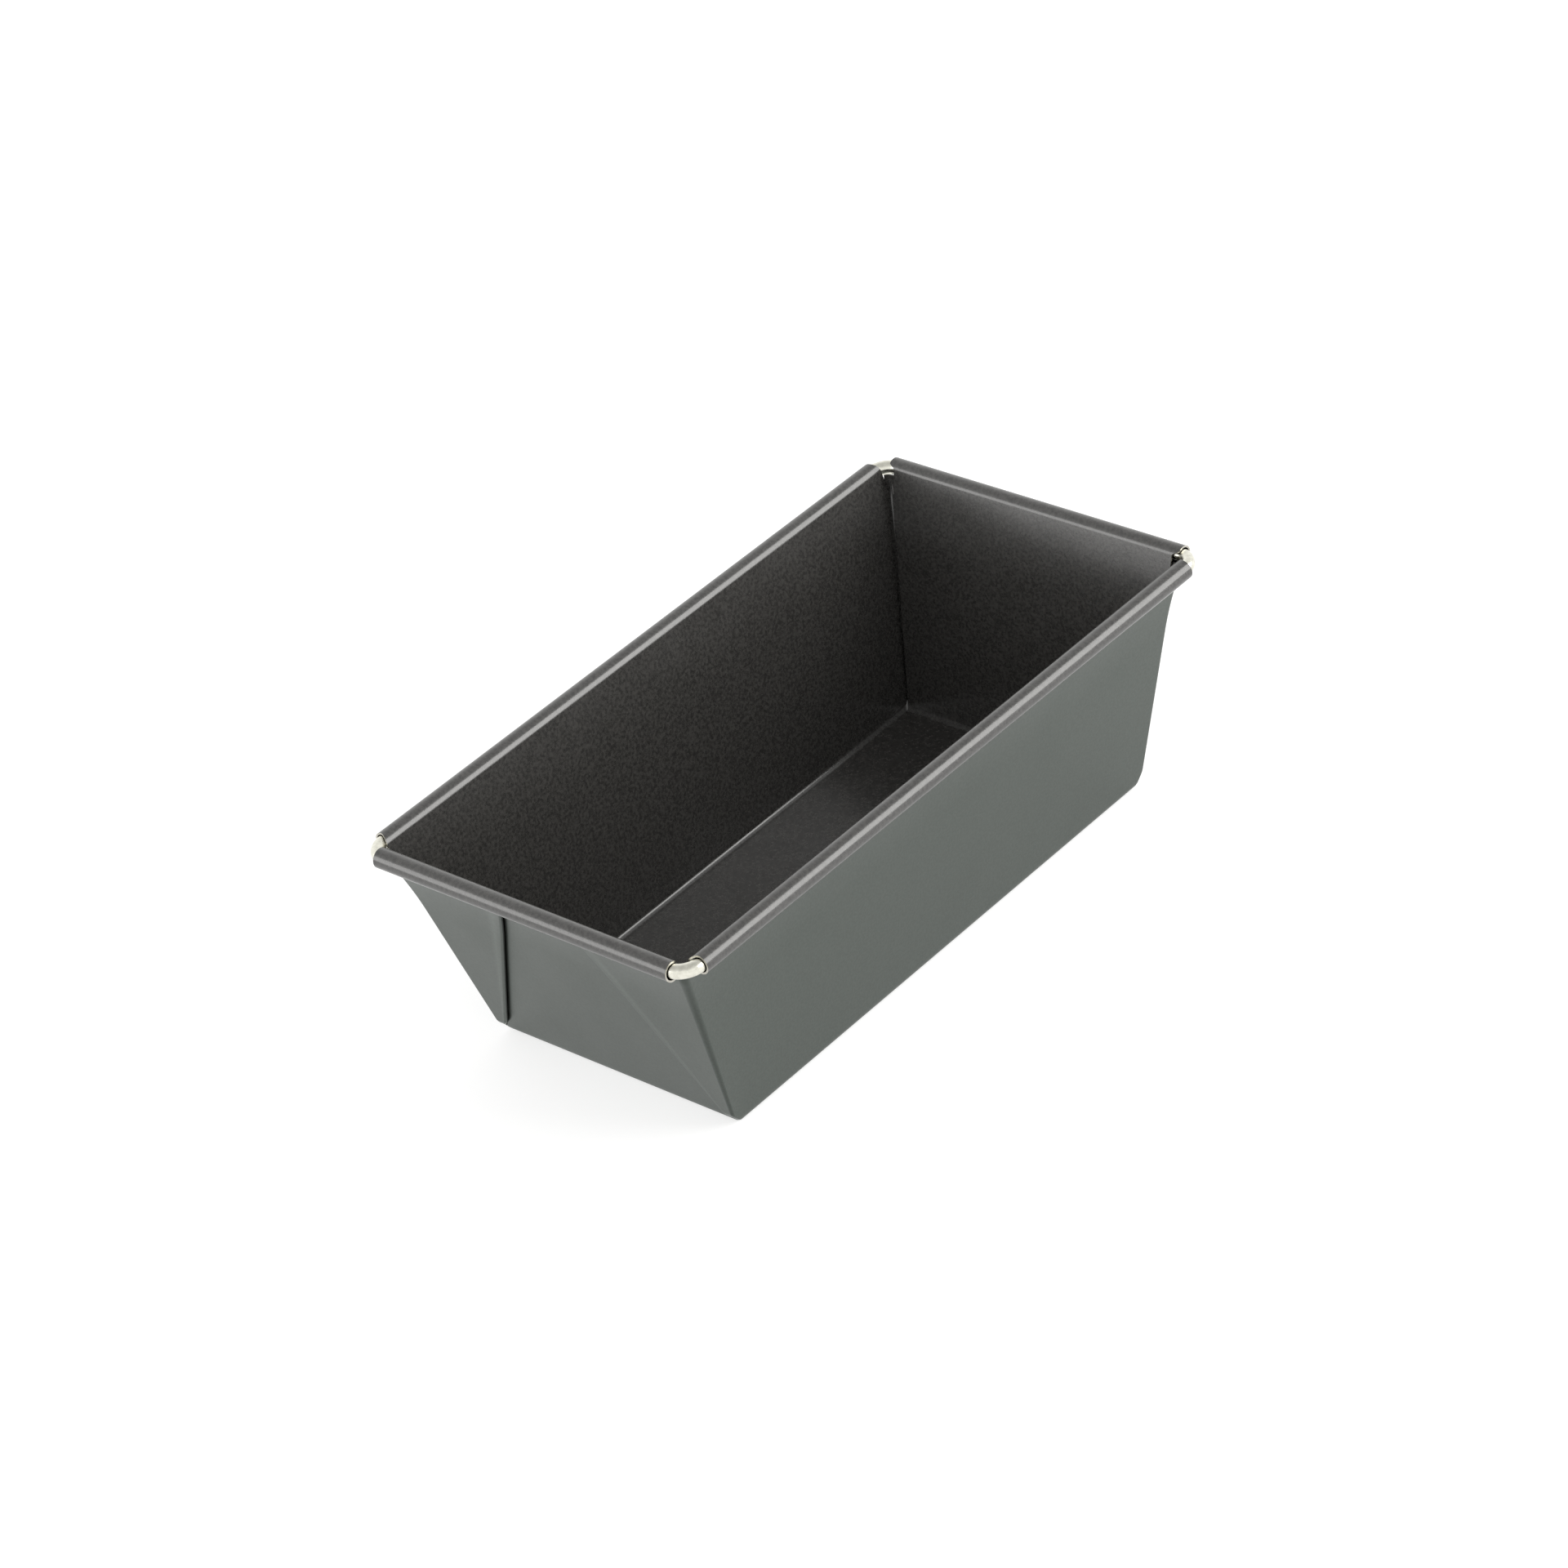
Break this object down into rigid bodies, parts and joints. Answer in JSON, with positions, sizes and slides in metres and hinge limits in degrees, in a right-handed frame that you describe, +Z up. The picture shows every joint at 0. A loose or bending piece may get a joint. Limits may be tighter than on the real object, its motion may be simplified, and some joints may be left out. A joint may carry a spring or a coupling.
{
  "type": "loaf pan",
  "caption": "Tapered sheet-steel loaf pan with pleated, folded corners and a rim curled round a stiffening wire.",
  "frame": {"origin": "middle of the underside, on the surface that the pan stands on", "axes": "+Z up, out of the pan's mouth; +Y along the pan's length; +X across it"},
  "size_m": [0.1144, 0.215, 0.0686],
  "materials": {
    "pan_sheet": "satin",
    "rim_wire": "bright drawn"
  },
  "bodies": {
    "root": {"pan_body": "pan_sheet", "rim_wire": "rim_wire"}
  },
  "joints": []
}
